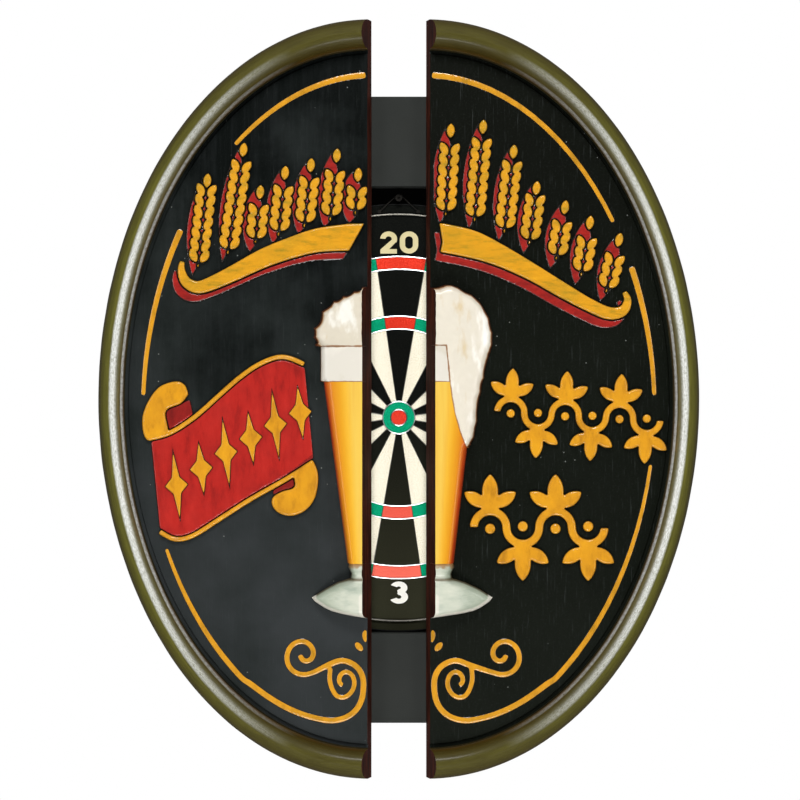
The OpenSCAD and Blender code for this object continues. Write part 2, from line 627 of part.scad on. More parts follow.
left_foam_edge = smooth([[58, 55], [62, 69], [56, 81], [50, 94], [34, 106], [8, 117]], 3);
right_foam_edge = smooth([[0, 117], [10, 116], [26, 119], [52, 106], [62, 93], [68, 77], [70, 58], [66, 46], [56, -1],
    [52, -34], [44.5, -51], [37, -43], [29, -23], [22.5, 4], [19.5, 30], [16.4, 56]], 3);
foam_base = 18;
module left_foam() color("#e9e2d4") on_door(left) {
    relief(75, relief_h) polygon(concat([[0, 55]], left_foam_edge, [[0, 117]]));
    relief(66, relief_h - 2) translate([0, foam_base]) square([53, 55 - foam_base - 0.2]);
}
module right_foam() color("#e9e2d4") on_door(right) {
    relief(85, relief_h) polygon(concat(right_foam_edge, [[0, 56]]));
    relief(66, relief_h - 2) polygon([[0, foam_base], [0, 55.8], [16.2, 55.8], [19.2, 30], [20.6, foam_base]]);
}
module left_beer() color("#e9a62b") on_door(left) relief(66, relief_h - 2)
    polygon([[0, foam_base - 0.2], [49.5, foam_base - 0.2], [24.5, -171], [0, -171]]);
module right_beer() color("#e9a62b") on_door(right) relief(66, relief_h - 2) difference() {
    polygon([[0, foam_base - 0.2], [50, foam_base - 0.2], [42.4, -51], [28.5, -171], [0, -171]]);
    polygon(concat(right_foam_edge, [[0, 56]]));
}
module glass_foot(side, knop_w, foot_w) color("#c9cfc3") on_door(side) relief(78, relief_h - 2)
    polygon(concat([[0, -171.2], [knop_w, -171.2], [knop_w + 1, -175], [knop_w - 2, -182], [knop_w - 1, -187]],
        smooth([[knop_w + 12, -191], [foot_w - 14, -198], [foot_w, -207]], 3),
        smooth([[foot_w - 3, -211], [foot_w - 20, -221], [16, -227], [0, -229]], 3)));

back_panel();
rail_block(band_top_z);  // top_rail_block
rail_block(band_bottom_z);  // bottom_rail_block
slide_cover(band_top_z);  // top_slide_cover
slide_cover(band_bottom_z);  // bottom_slide_cover
rail_screws();
slide_outer(left, band_top_z);  // left_top_slide_outer
slide_outer(left, band_bottom_z);  // left_bottom_slide_outer
slide_outer(right, band_top_z);  // right_top_slide_outer
slide_outer(right, band_bottom_z);  // right_bottom_slide_outer
board_core();
board_band();
board_surround();
black_beds();
cream_beds();
red_beds();
green_beds();
bull();
spider();
number_ring();
ring_clips();
numerals();
hanger_screw();
hanger_wire();
panel(left);  // left_panel
rim(left);  // left_rim
pinstripe(left, [[1.5, 37.3], [57, 87.7]], 115.7, 0);  // left_pinstripe
crest(left, left_ears, left_swash, left_tail);  // left_crest
crest_shadow(left, left_ears, left_swash, left_tail);  // left_crest_shadow
banner();
banner_curls();
banner_stars();
left_foam();
left_beer();
glass_foot(left, 23, 62);  // left_glass_foot
slide_inner(left, band_top_z);  // left_top_slide_inner
slide_inner(left, band_bottom_z);  // left_bottom_slide_inner
door_plates(left);  // left_door_plates
door_screws(left);  // left_door_screws
slide_middle(left, band_top_z);  // left_top_slide_middle
slide_middle(left, band_bottom_z);  // left_bottom_slide_middle
outer_cages(left);  // left_outer_cages
inner_cages(left);  // left_inner_cages
panel(right);  // right_panel
rim(right);  // right_rim
pinstripe(right, [[1.5, 55.5], [64.3, 87.7]], 100.3, 9);  // right_pinstripe
crest(right, right_ears, right_swash, right_tail);  // right_crest
crest_shadow(right, right_ears, right_swash, right_tail);  // right_crest_shadow
vine();
right_foam();
right_beer();
glass_foot(right, 28, 69);  // right_glass_foot
slide_inner(right, band_top_z);  // right_top_slide_inner
slide_inner(right, band_bottom_z);  // right_bottom_slide_inner
door_plates(right);  // right_door_plates
door_screws(right);  // right_door_screws
slide_middle(right, band_top_z);  // right_top_slide_middle
slide_middle(right, band_bottom_z);  // right_bottom_slide_middle
outer_cages(right);  // right_outer_cages
inner_cages(right);  // right_inner_cages
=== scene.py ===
"""Dart board cabinet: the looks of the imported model, built round its fixed frame."""
import json
import math

import bmesh
import bpy
import numpy as np
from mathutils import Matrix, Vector, kdtree, noise
from mathutils.geometry import delaunay_2d_cdt


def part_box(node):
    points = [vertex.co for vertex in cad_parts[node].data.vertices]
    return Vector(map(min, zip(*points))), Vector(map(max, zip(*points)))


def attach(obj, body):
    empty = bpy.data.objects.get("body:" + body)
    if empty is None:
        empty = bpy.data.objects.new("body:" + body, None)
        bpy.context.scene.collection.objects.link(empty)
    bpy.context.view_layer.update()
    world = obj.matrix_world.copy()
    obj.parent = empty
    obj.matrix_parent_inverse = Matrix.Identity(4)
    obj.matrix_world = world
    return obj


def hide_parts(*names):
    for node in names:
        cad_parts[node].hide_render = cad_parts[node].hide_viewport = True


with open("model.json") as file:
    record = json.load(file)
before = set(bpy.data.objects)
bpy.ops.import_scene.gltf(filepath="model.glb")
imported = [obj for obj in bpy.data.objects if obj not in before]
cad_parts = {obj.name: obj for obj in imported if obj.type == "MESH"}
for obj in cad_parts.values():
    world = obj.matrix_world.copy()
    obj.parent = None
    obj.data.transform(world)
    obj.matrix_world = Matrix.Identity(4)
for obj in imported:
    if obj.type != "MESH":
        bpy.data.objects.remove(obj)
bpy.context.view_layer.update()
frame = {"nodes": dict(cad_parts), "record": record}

NODES = frame["nodes"]
MM = 0.001

# ---- sizes read from the frame ----

SIDES = {"left": -1, "right": 1}
RIM_LO, RIM_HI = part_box("right_rim")
PANEL_LO, PANEL_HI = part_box("right_panel")
GAP = RIM_LO.x                        # each door's back edge from the centre
DOOR_Y = RIM_HI.y                     # back of the doors
OVAL_A, OVAL_C = RIM_HI.x - RIM_LO.x, RIM_HI.z
PANEL_A, PANEL_C = PANEL_HI.x - PANEL_LO.x, PANEL_HI.z
PANEL_T = PANEL_HI.y - PANEL_LO.y
RIM_T = RIM_HI.y - RIM_LO.y
LEAN = 10 / 32                        # sideways lean of the saw cut for each unit of depth
BOARD_LO, BOARD_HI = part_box("board_band")
BULL = Vector((0, 0, (BOARD_LO.z + BOARD_HI.z) / 2))
STEM_CREASE_Z = -187.5 * MM           # where the glass's stem meets its foot


def door_point(side, u, v, depth):
    """A point on a door: u outward from the saw cut, v up, depth forward of the door's back."""
    return (SIDES[side] * (GAP + u), DOOR_Y - depth, v)


# ---- materials ----

def rgb(text, alpha=1.0):
    """A linear colour from a six-digit hexadecimal one."""
    parts = [int(text[i:i + 2], 16) / 255 for i in (0, 2, 4)]
    return tuple(c / 12.92 if c < 0.04045 else ((c + 0.055) / 1.055) ** 2.4 for c in parts) + (alpha,)


class Shade:
    """A node material with one Principled shader and a few shorthand builders."""

    def __init__(self, name, roughness=0.5, metallic=0.0, coat=0.0, specular=0.5, coat_roughness=0.1):
        self.material = bpy.data.materials.new(name)
        self.material.use_nodes = True
        self.tree = self.material.node_tree
        self.shader = self.tree.nodes["Principled BSDF"]
        self.shader.inputs["Roughness"].default_value = roughness
        self.shader.inputs["Metallic"].default_value = metallic
        self.shader.inputs["Coat Weight"].default_value = coat
        self.shader.inputs["Coat Roughness"].default_value = coat_roughness
        self.shader.inputs["Specular IOR Level"].default_value = specular

    def node(self, kind, **settings):
        made = self.tree.nodes.new("ShaderNode" + kind)
        for key, value in settings.items():
            if key in made.inputs:
                made.inputs[key].default_value = value
            else:
                setattr(made, key, value)
        return made

    def link(self, out, into):
        self.tree.links.new(out, into)

    def axis(self, letter, uv=False):
        """One coordinate: of the object, or of the UV map."""
        split = self.node("SeparateXYZ")
        self.link(self.place(uv=uv), split.inputs["Vector"])
        return split.outputs[letter]

    def place(self, stretch=(1, 1, 1), turn=(0, 0, 0), uv=False):
        coordinates = self.node("TexCoord")
        mapping = self.node("Mapping")
        mapping.inputs["Scale"].default_value = stretch
        mapping.inputs["Rotation"].default_value = turn
        self.link(coordinates.outputs["UV" if uv else "Object"], mapping.inputs["Vector"])
        return mapping.outputs["Vector"]

    def noise(self, scale, vector=None, detail=6.0, roughness=0.6):
        made = self.node("TexNoise")
        made.inputs["Scale"].default_value = scale
        made.inputs["Detail"].default_value = detail
        made.inputs["Roughness"].default_value = roughness
        if vector is None:
            vector = self.place()
        self.link(vector, made.inputs["Vector"])
        return made.outputs["Fac"]

    def ramp(self, value, stops):
        """stops: pairs of (position, colour or grey level)."""
        made = self.node("ValToRGB")
        elements = made.color_ramp.elements
        while len(elements) > 1:
            elements.remove(elements[-1])
        for i, (at, colour) in enumerate(stops):
            element = elements[0] if i == 0 else elements.new(at)
            element.position = at
            element.color = rgb(colour) if isinstance(colour, str) else (colour, colour, colour, 1)
        self.link(value, made.inputs["Fac"])
        return made.outputs["Color"]

    def mix(self, fac, a, b):
        made = self.node("Mix", data_type="RGBA")
        for value, socket in ((fac, made.inputs[0]), (a, made.inputs[6]), (b, made.inputs[7])):
            if isinstance(value, str):
                socket.default_value = rgb(value)
            elif isinstance(value, (int, float)):
                socket.default_value = value
            else:
                self.link(value, socket)
        return made.outputs[2]

    def maths(self, operation, a, b=0.0, clamp=False):
        made = self.node("Math", operation=operation, use_clamp=clamp)
        for value, socket in ((a, made.inputs[0]), (b, made.inputs[1])):
            if isinstance(value, (int, float)):
                socket.default_value = value
            else:
                self.link(value, socket)
        return made.outputs[0]

    def around_zero(self, value, width):
        """A 0 to 1 noise moved to lie about 0, and scaled to a full width."""
        return self.maths("MULTIPLY", self.maths("SUBTRACT", value, 0.5), width)

    def attribute(self, name):
        return self.node("Attribute", attribute_name=name).outputs["Fac"]

    def colour(self, socket):
        self.link(socket, self.shader.inputs["Base Color"])

    def rough(self, value, low, high):
        scaled = self.node("MapRange")
        scaled.inputs["To Min"].default_value = low
        scaled.inputs["To Max"].default_value = high
        self.link(value, scaled.inputs["Value"])
        self.link(scaled.outputs["Result"], self.shader.inputs["Roughness"])

    def bump(self, *heights):
        """heights: pairs of (socket, depth in metres), laid over one another."""
        normal = None
        for socket, depth in heights:
            made = self.node("Bump")
            made.inputs["Strength"].default_value = 1.0
            made.inputs["Distance"].default_value = depth
            self.link(socket, made.inputs["Height"])
            if normal is not None:
                self.link(normal, made.inputs["Normal"])
            normal = made.outputs["Normal"]
        self.link(normal, self.shader.inputs["Normal"])


def painted(name, dark, mid, light, line="14100a", line_mm=0.8, roughness=(0.38, 0.6), streak=(60, 60, 60),
            turn=0.0, coat=0.0):
    """Hand-brushed paint on carved wood, with a dark line round the outline of the carving."""
    s = Shade(name, coat=coat, coat_roughness=0.12, specular=0.12)
    brush = s.noise(1.0, s.place(streak, (0, turn, 0)), detail=8, roughness=0.65)
    blotch = s.noise(38, detail=4)
    colour = s.ramp(brush, [(0.30, dark), (0.48, mid), (0.70, light)])
    colour = s.mix(s.ramp(blotch, [(0.42, 0.0), (0.72, 0.45)]), colour, dark)
    near = s.maths("DIVIDE", s.attribute("edge_mm"), line_mm)
    colour = s.mix(s.ramp(near, [(0.0, 1.0), (0.6, 1.0), (1.0, 0.0)]), colour, line)
    s.colour(colour)
    grain = s.noise(420, detail=3)
    s.rough(blotch, *roughness)
    s.bump((brush, 0.0005), (grain, 0.00008))
    return s.material


def panel_paint(name, dark, mid, light, wear):
    """Satin black brushed over wood, with fine scratches and pale specks; painted lighter towards the foot
    as painted sheen.
    """
    s = Shade(name, specular=0.035)
    brush = s.noise(1.0, s.place((120, 40, 9), (0, 0.12, 0)), detail=9, roughness=0.7)
    cloud = s.noise(7, detail=5)
    # painted sheen: the black is painted lighter towards the foot of the door
    lower = s.maths("MULTIPLY", s.maths("SUBTRACT", 0.1, s.axis("Z")), 0.9)
    cloud_and_sheen = s.maths("ADD", cloud, s.maths("MAXIMUM", s.maths("MINIMUM", lower, 0.3), -0.3))
    colour = s.ramp(cloud_and_sheen, [(0.35, dark), (0.55, mid), (0.85, light)])
    colour = s.mix(s.ramp(brush, [(0.45, 0.0), (0.85, 0.30)]), colour, light)
    hairs = s.noise(1.0, s.place((650, 50, 30), (0, 0.4, 0)), detail=3)
    colour = s.mix(s.ramp(hairs, [(0.60, 0.0), (0.72, wear)]), colour, "454948")
    mottle = s.noise(480, detail=4, roughness=0.75)
    colour = s.mix(s.ramp(mottle, [(0.56, 0.0), (0.74, wear)]), colour, "3a3e3c")
    specks = s.node("TexVoronoi", Scale=95.0)
    s.link(s.place(), specks.inputs["Vector"])
    chosen = s.ramp(s.noise(31, detail=1), [(0.54, 0.0), (0.58, 1.0)])
    dots = s.ramp(specks.outputs["Distance"], [(0.0, 0.55), (0.05, 0.35), (0.07, 0.0)])
    colour = s.mix(s.maths("MULTIPLY", chosen, dots), colour, "9fa39e")
    s.colour(colour)
    s.rough(brush, 0.5, 0.72)
    s.bump((brush, 0.0003), (s.noise(260, detail=3), 0.00010))
    return s.material


def sawn_wood():
    """Sawn edge, stained dark brown, with saw marks."""
    s = Shade("sawn_wood", roughness=0.7, specular=0.06)
    marks = s.noise(1.0, s.place((40, 260, 26)), detail=6)
    s.colour(s.ramp(marks, [(0.32, "140704"), (0.5, "2c110a"), (0.74, "4a2012")]))
    s.bump((marks, 0.0006))
    return s.material


def rim_paint(name, polished):
    """Olive-gold glaze, dark in the hollows; UV is (length in m, share of the width).
    The inner slope of the rim is lacquered and carries a painted highlight of pale paint along its crown and
    inner edge; the outer slope is matt. Towards the top and bottom the highlight fades out and the glaze is
    painted darker, as painted shade."""
    s = Shade(name, specular=0.1, coat_roughness=0.2)
    across = s.axis("Y", uv=True)
    base = s.ramp(across, [(0.0, "1a1408"), (0.08, "332c10"), (0.22, "4b4817"), (0.42, "57551e"),
                           (0.60, "5c5a24"), (0.78, "514c1d"), (0.90, "453a14"), (0.945, "5c4018"),
                           (0.965, "0b0805"), (1.0, "040404")])
    # painted shade: the glaze is painted darker towards the top and bottom of the rim, where side_share
    # falls
    painted_end_shade = s.maths("SUBTRACT", 0.55, s.maths("MULTIPLY", s.attribute("side_share"), 0.55))
    along = s.noise(1.0, s.place((26, 9, 1), uv=True), detail=8, roughness=0.7)
    streaks = s.noise(1.0, s.place((7, 70, 1), uv=True), detail=5, roughness=0.6)
    colour = s.mix(s.ramp(along, [(0.35, 0.5), (0.62, 0.0)]), base, "2d290c")
    colour = s.mix(s.ramp(streaks, [(0.5, 0.0), (0.78, 0.25)]), colour, "7d7840")
    colour = s.mix(painted_end_shade, colour, "2c2206")
    mottle = s.noise(1.0, s.place((260, 34, 1), uv=True), detail=7, roughness=0.8)
    if polished:
        # painted highlight: pale paint over the inner crown and along the inner edge, fading where
        # side_share falls
        crown = s.ramp(across, [(0.46, 0.0), (0.54, 0.9), (0.64, 0.9), (0.76, 0.1), (0.86, 0.0),
                                (0.89, 0.8), (0.93, 0.8), (0.95, 0.0)])
        painted_crown_highlight = s.maths("MULTIPLY", crown, s.ramp(mottle, [(0.36, 0.15), (0.56, 1.0)]))
        painted_crown_highlight = s.maths("MULTIPLY", painted_crown_highlight, s.attribute("side_share"))
        colour = s.mix(painted_crown_highlight, colour, "dcdedc")
        s.link(s.maths("MAXIMUM", s.attribute("side_share"), 0.12), s.shader.inputs["Coat Weight"])
        s.rough(mottle, 0.3, 0.55)
    else:
        s.rough(mottle, 0.5, 0.7)
    s.colour(colour)
    s.bump((along, 0.0005), (mottle, 0.0004))
    return s.material


def beer_paint():
    """Painted beer: burnt orange at the glass wall, gold, then pale yellow towards the middle."""
    s = Shade("beer_amber", coat=0.25, coat_roughness=0.1, specular=0.15)
    across = s.attribute("inward")
    colour = s.ramp(across, [(0.0, "a02a10"), (0.05, "aa3a16"), (0.12, "ba6819"), (0.20, "c37c13"),
                             (0.34, "cb911d"), (0.45, "d1a02e"), (0.60, "d0ac48"), (1.0, "d0aa45")])
    pull = s.noise(1.0, s.place((160, 160, 9)), detail=5)
    colour = s.mix(s.ramp(pull, [(0.45, 0.0), (0.75, 0.3)]), colour, "c27c16")
    s.colour(colour)
    s.rough(pull, 0.3, 0.5)
    s.bump((pull, 0.0002))
    return s.material


def foam_paint(name, crease, body, light, scale, depth, line_mm, stretch=(1, 1, 1)):
    """Cream foam, with painted shade in the hollows of its lumps and painted highlights, as whiter streaks,
    on their tops. Its brown outline fades through tan, and joints have a tan line.
    """
    s = Shade(name, coat=0.5, coat_roughness=0.15, specular=0.2)
    lumps = s.noise(scale, s.place(stretch), detail=4, roughness=0.5)
    # crease is painted shade in the hollows of the lumps that the bump raises, light is painted highlight on
    # their tops
    colour = s.ramp(lumps, [(0.34, crease), (0.44, body), (0.56, body), (0.66, light)])
    uneven = s.noise(120, detail=2)
    near = s.maths("ADD", s.maths("DIVIDE", s.attribute("edge_mm"), line_mm), s.around_zero(uneven, 0.7))
    colour = s.mix(s.ramp(near, [(0.40, 1.0), (0.95, 0.0)]), colour, "96682e")
    colour = s.mix(s.ramp(near, [(0.30, 0.95), (0.55, 0.0)]), colour, "42180a")
    seam = s.maths("ADD", s.attribute("joint_mm"), s.around_zero(uneven, 2.2))
    colour = s.mix(s.ramp(seam, [(0.5, 0.85), (1.0, 0.0)]), colour, "8a5a28")
    s.colour(colour)
    s.rough(lumps, 0.28, 0.55)
    s.bump((lumps, depth))
    return s.material


def foot_paint():
    """Pale grey-green glass foot with a painted highlight along its base, and a brown outline, crease and
    stain.
    """
    s = Shade("foot_grey", coat=0.3, coat_roughness=0.15, specular=0.2)
    cloud = s.noise(30, s.place((1, 1, 2.5)), detail=5)
    colour = s.ramp(cloud, [(0.3, "949d8f"), (0.48, "b0b4a5"), (0.72, "c2c3b3")])
    tip = s.ramp(s.attribute("inward"), [(0.0, 0.85), (0.2, 0.6), (0.45, 0.0)])
    colour = s.mix(tip, colour, "7f8b78")
    near = s.maths("DIVIDE", s.attribute("edge_mm"), 3)
    colour = s.mix(s.ramp(near, [(0.0, 1.0), (0.3, 0.75), (0.7, 0.0)]), colour, "3f3018")
    seam = s.maths("DIVIDE", s.attribute("joint_mm"), 3)
    colour = s.mix(s.ramp(seam, [(0.0, 1.0), (0.3, 0.8), (0.7, 0.0)]), colour, "7c5a30")
    crease = s.maths("ABSOLUTE", s.maths("SUBTRACT", s.axis("Z"), STEM_CREASE_Z))
    colour = s.mix(s.ramp(s.maths("DIVIDE", crease, 2.5 * MM), [(0.2, 0.85), (1.0, 0.0)]), colour, "554a32")
    stain = s.maths("ADD", s.maths("DIVIDE", s.attribute("joint_mm"), 14), s.noise(160, detail=3))
    colour = s.mix(s.ramp(stain, [(0.60, 0.85), (0.84, 0.0)]), colour, "8b6a42")
    # painted highlight along the rounded base of the foot
    low = s.maths("DIVIDE", s.attribute("low_mm"), 8)
    colour = s.mix(s.ramp(low, [(0.0, 0.9), (0.35, 0.8), (0.6, 0.0)]), colour, "cac6ba")
    s.colour(colour)
    s.rough(cloud, 0.22, 0.45)
    s.bump((cloud, 0.0006))
    return s.material


def sisal(name, dark, mid, light, low=None):
    """End-on sisal bristles: a fine, dense speckle; low is a lighter colour that the board fades to towards
    its foot.
    """
    s = Shade(name, roughness=0.9, specular=0.05)
    bristle = s.noise(900, detail=2)
    wear = s.noise(26, detail=6)
    colour = s.ramp(bristle, [(0.34, dark), (0.5, mid), (0.66, light)])
    colour = s.mix(s.ramp(wear, [(0.5, 0.0), (0.8, 0.35)]), colour, dark)
    if low is not None:
        foot_fade = s.maths("SUBTRACT", -0.05, s.maths("MULTIPLY", s.axis("Z"), 5), clamp=True)
        colour = s.mix(foot_fade, colour, low)
    s.colour(colour)
    s.bump((bristle, 0.0003), (wear, 0.0004))
    return s.material


def metal(name, dark, light, roughness, brushed=(300, 30, 30), bump=0.00004):
    """Bare metal; brushed says how closely its marks lie along x, y and z."""
    s = Shade(name, metallic=1.0, roughness=sum(roughness) / 2)
    brush = s.noise(1.0, s.place(brushed), detail=6)
    cloud = s.noise(30, detail=4)
    s.colour(s.mix(s.ramp(cloud, [(0.35, 0.0), (0.7, 1.0)]), dark, light))
    s.rough(brush, *roughness)
    s.bump((brush, bump))
    return s.material


def coated(name, dark, light, roughness, grain=700, depth=0.00006, specular=0.5):
    """Sprayed or powder-coated finish with a fine orange-peel grain and slight wear."""
    s = Shade(name, specular=specular)
    peel = s.noise(grain, detail=2)
    cloud = s.noise(14, detail=6)
    s.colour(s.ramp(cloud, [(0.3, dark), (0.7, light)]))
    s.rough(cloud, *roughness)
    s.bump((peel, depth))
    return s.material


# ---- meshes ----

def make_piece(name, points, faces, materials, body, replaces=(), face_material=None,
               sharp=35, uv=None, attributes=None):
    """A closed mesh piece that rides on a body and stands for CAD nodes."""
    mesh = bpy.data.meshes.new(name)
    mesh.from_pydata([tuple(p) for p in points], [], faces)
    for m in materials:
        mesh.materials.append(m)
    if face_material is not None:
        mesh.polygons.foreach_set("material_index", face_material)
    mesh.polygons.foreach_set("use_smooth", [True] * len(mesh.polygons))
    if uv is not None:
        layer = mesh.uv_layers.new(name="UVMap")
        for loop in mesh.loops:
            layer.data[loop.index].uv = uv[loop.vertex_index]
    for key, values in (attributes or {}).items():
        layer = mesh.attributes.new(key, "FLOAT", "POINT")
        layer.data.foreach_set("value", np.asarray(values, np.float32))
    fix = bmesh.new()
    fix.from_mesh(mesh)
    bmesh.ops.recalc_face_normals(fix, faces=fix.faces)
    fix.to_mesh(mesh)
    fix.free()
    mesh.set_sharp_from_angle(angle=math.radians(sharp))
    piece = bpy.data.objects.new(name, mesh)
    bpy.context.scene.collection.objects.link(piece)
    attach(piece, body)
    if replaces:
        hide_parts(*replaces)
    return piece


def chained(onward, places):
    """Closed loops of places, from a table of the corners that follow each corner. Uses the table up."""
    loops = []
    while onward:
        start = at = next(iter(onward))
        loop = []
        while at in onward:
            loop.append(places[at])
            step = onward[at].pop()
            if not onward[at]:
                del onward[at]
            at = step
            if at == start:
                break
        if len(loop) > 2:
            loops.append(np.array(loop))
    return loops


def outline(node, front=True):
    """Closed outlines, as (x, z) rows in metres, of the flat front or back of a CAD node."""
    mesh = bmesh.new()
    mesh.from_mesh(NODES[node].data)
    bmesh.ops.remove_doubles(mesh, verts=mesh.verts, dist=1e-6)
    ys = [v.co.y for v in mesh.verts]
    level = min(ys) if front else max(ys)
    flat = [f for f in mesh.faces if all(abs(v.co.y - level) < 1e-5 for v in f.verts)]
    found = set(flat)
    onward = {}
    for f in flat:
        for loop in f.loops:
            others = [g for g in loop.edge.link_faces if g is not f and g in found]
            if not others:
                onward.setdefault(loop.vert.index, []).append(loop.link_loop_next.vert.index)
    places = {v.index: (v.co.x, v.co.z) for v in mesh.verts}
    loops = chained(onward, places)
    mesh.free()
    return loops


def divided(loop, step):
    """The loop with its long edges cut into pieces no longer than step."""
    points = []
    for a, b in zip(loop, np.roll(loop, -1, 0)):
        count = max(1, math.ceil(np.linalg.norm(b - a) / step))
        points += [a + (b - a) * i / count for i in range(count)]
    return np.array(points)


def segments(loops):
    """Rows of (x0, z0, x1, z1), one for each side of each closed loop."""
    return np.vstack([np.hstack([p, np.roll(p, -1, 0)]) for p in loops])


def distance(points, parts):
    """Least distance from each point to a set of short segments."""
    tree = kdtree.KDTree(len(parts))
    for i, (x0, z0, x1, z1) in enumerate(parts):
        tree.insert(((x0 + x1) / 2, (z0 + z1) / 2, 0), i)
    tree.balance()
    count = min(4, len(parts))
    near = np.array([[found[1] for found in tree.find_n((x, z, 0), count)] for x, z in points])
    a, b = parts[near, :2], parts[near, 2:]
    along = b - a
    from_a = points[:, None, :] - a
    t = np.clip((from_a * along).sum(2) / np.maximum((along ** 2).sum(2), 1e-18), 0, 1)
    return np.sqrt(((from_a - along * t[..., None]) ** 2).sum(2)).min(1)


def inside(points, parts):
    """True where a point lies inside the outlines, by the even-odd rule."""
    found = np.zeros(len(points), bool)
    for at in range(0, len(points), 2000):
        x, z = points[at:at + 2000, 0:1], points[at:at + 2000, 1:2]
        x0, z0, x1, z1 = (parts[None, :, k] for k in range(4))
        crosses = (z0 > z) != (z1 > z)
        with np.errstate(divide="ignore", invalid="ignore"):
            hit = crosses & (x < (x1 - x0) * (z - z0) / (z1 - z0) + x0)
        found[at:at + 2000] = hit.sum(1) % 2 == 1
    return found


def area(loop):
    """Area that a closed loop holds."""
    x, z = loop.T
    return abs((x * np.roll(z, -1) - np.roll(x, -1) * z).sum()) / 2


def softened(loop, rounds):
    """The loop with its corners eased."""
    for _ in range(rounds):
        loop = (np.roll(loop, 1, 0) + 2 * loop + np.roll(loop, -1, 0)) / 4
    return loop


def staggered_grid(lo, hi, step):
    """Points of a triangular grid over a box."""
    rows = []
    for i, z in enumerate(np.arange(lo[1], hi[1], step * 0.87)):
        x = np.arange(lo[0] + (i % 2) * step / 2, hi[0], step)
        rows.append(np.column_stack([x, np.full(len(x), z)]))
    return np.vstack(rows)


def open_sides(triangles):
    """The triangle sides that only one triangle has."""
    sides = np.vstack([triangles[:, [0, 1]], triangles[:, [1, 2]], triangles[:, [2, 0]]])
    keys, counts = np.unique(np.sort(sides, 1), axis=0, return_counts=True)
    single = {tuple(k) for k in keys[counts == 1]}
    return [tuple(s) for s in sides if tuple(sorted(s)) in single]


def filled(loops, step, rounds=0):
    """Triangles that fill the outlines: (points, triangles, boundary edges, outline segments)."""
    loops = [softened(divided(p, step), rounds) for p in loops]
    parts = segments(loops)
    points = np.vstack(loops)
    edges, first = [], 0
    for p in loops:
        edges += [(first + i, first + (i + 1) % len(p)) for i in range(len(p))]
        first += len(p)
    grid = staggered_grid(points.min(0), points.max(0), step)
    grid = grid[inside(grid, parts)]
    grid = grid[distance(grid, parts) > step * 0.5]
    every = [Vector(p) for p in np.vstack([points, grid])]
    made = delaunay_2d_cdt(every, edges, [], 0, 1e-8)
    places = np.array([tuple(p) for p in made[0]])
    triangles = np.array([f for f in made[2] if len(f) == 3])
    triangles = triangles[inside(places[triangles].mean(1), parts)]
    return places, triangles, open_sides(triangles), parts


def wobble(points, scale, seed):
    """Smooth pseudo-random heights from -1 to 1."""
    return np.array([noise.noise(Vector((x * scale, seed, z * scale))) for x, z in points])


def dome(d, width):
    """0 at an edge, rising to 1 at width from it in a quarter round."""
    t = np.clip(d / width, 0, 1)
    return np.sqrt(1 - (1 - t) ** 2)


def solid_faces(triangles, border, n):
    """Faces of a solid whose n front points are followed by n back points: front, back, then walls."""
    faces = [tuple(t) for t in triangles] + [tuple(t[::-1] + n) for t in triangles]
    return faces + [(b, a, a + n, b + n) for a, b in border]


PINHOLE = 4 * MM ** 2


def carve(name, node, body, materials, thick, round_w, wall=0.6, step=1.3, sway=0.25,
          small=None, rounds=3):
    """A carved shape with rounded edges, over the outline of a flat CAD node.
    thick, wall and sway are heights in mm: of the middle, of the edge and of the carver's unevenness."""
    loops = [p for p in outline(node) if area(p) > PINHOLE]
    points, triangles, border, parts = filled(loops, step * MM, rounds)
    d = distance(points, parts) / MM
    back_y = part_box(node)[1].y
    height = wall + (thick - wall) * dome(d, round_w) + sway * wobble(points, 90, 3.1) * dome(d, round_w)
    n = len(points)
    top = np.column_stack([points[:, 0], back_y - height * MM, points[:, 1]])
    bottom = np.column_stack([points[:, 0], np.full(n, back_y), points[:, 1]])
    both = np.vstack([top, bottom])
    faces = solid_faces(triangles, border, n)
    chosen = None if small is None else small(np.array([both[list(f)].mean(0) for f in faces]))
    return make_piece(name, both, faces, materials, body, (node,), chosen,
                      attributes={"edge_mm": np.concatenate([d, np.zeros(n)])}, sharp=50)


# ---- beer glass, in the door's own u and v ----

FAR = 99.0                            # a distance in mm that stands for none
SAW_LINE = LEAN * PANEL_T + 0.4 * MM  # outline points with u below this lie on the saw cut
BARREL_W = 66                         # half width in mm of the beer's barrel, at the panel
BARREL_H = 17                         # and its height in mm
LUMPS = 70                            # noise scale of the foam's lumps, for each metre


def scalloped(loop, fixed, pitch, depth, low, high):
    """The loop with shallow bites along its outer edge between two heights; all four sizes are in mm.
    Edges that lie along the fixed segments are kept."""
    loop = divided(loop, 1.2 * MM)
    ahead = np.roll(loop, -1, 0) - np.roll(loop, 1, 0)
    normal = np.column_stack([ahead[:, 1], -ahead[:, 0]]) / np.linalg.norm(ahead, axis=1)[:, None]
    middle = loop.mean(0)
    normal = np.where((normal * (middle - loop)).sum(1)[:, None] > 0, normal, -normal)
    run = np.cumsum(np.linalg.norm(loop - np.roll(loop, 1, 0), axis=1)) / MM
    dip = depth * MM * abs(np.sin(np.pi * run / pitch + 0.7 * np.sin(run / 9))) ** 0.7
    held = (loop[:, 0] < 5.5 * MM) | (loop[:, 1] < low * MM) | (loop[:, 1] > high * MM)
    held |= distance(loop, fixed) < 2.5 * MM
    return loop + normal * np.where(held, 0, dip)[:, None]


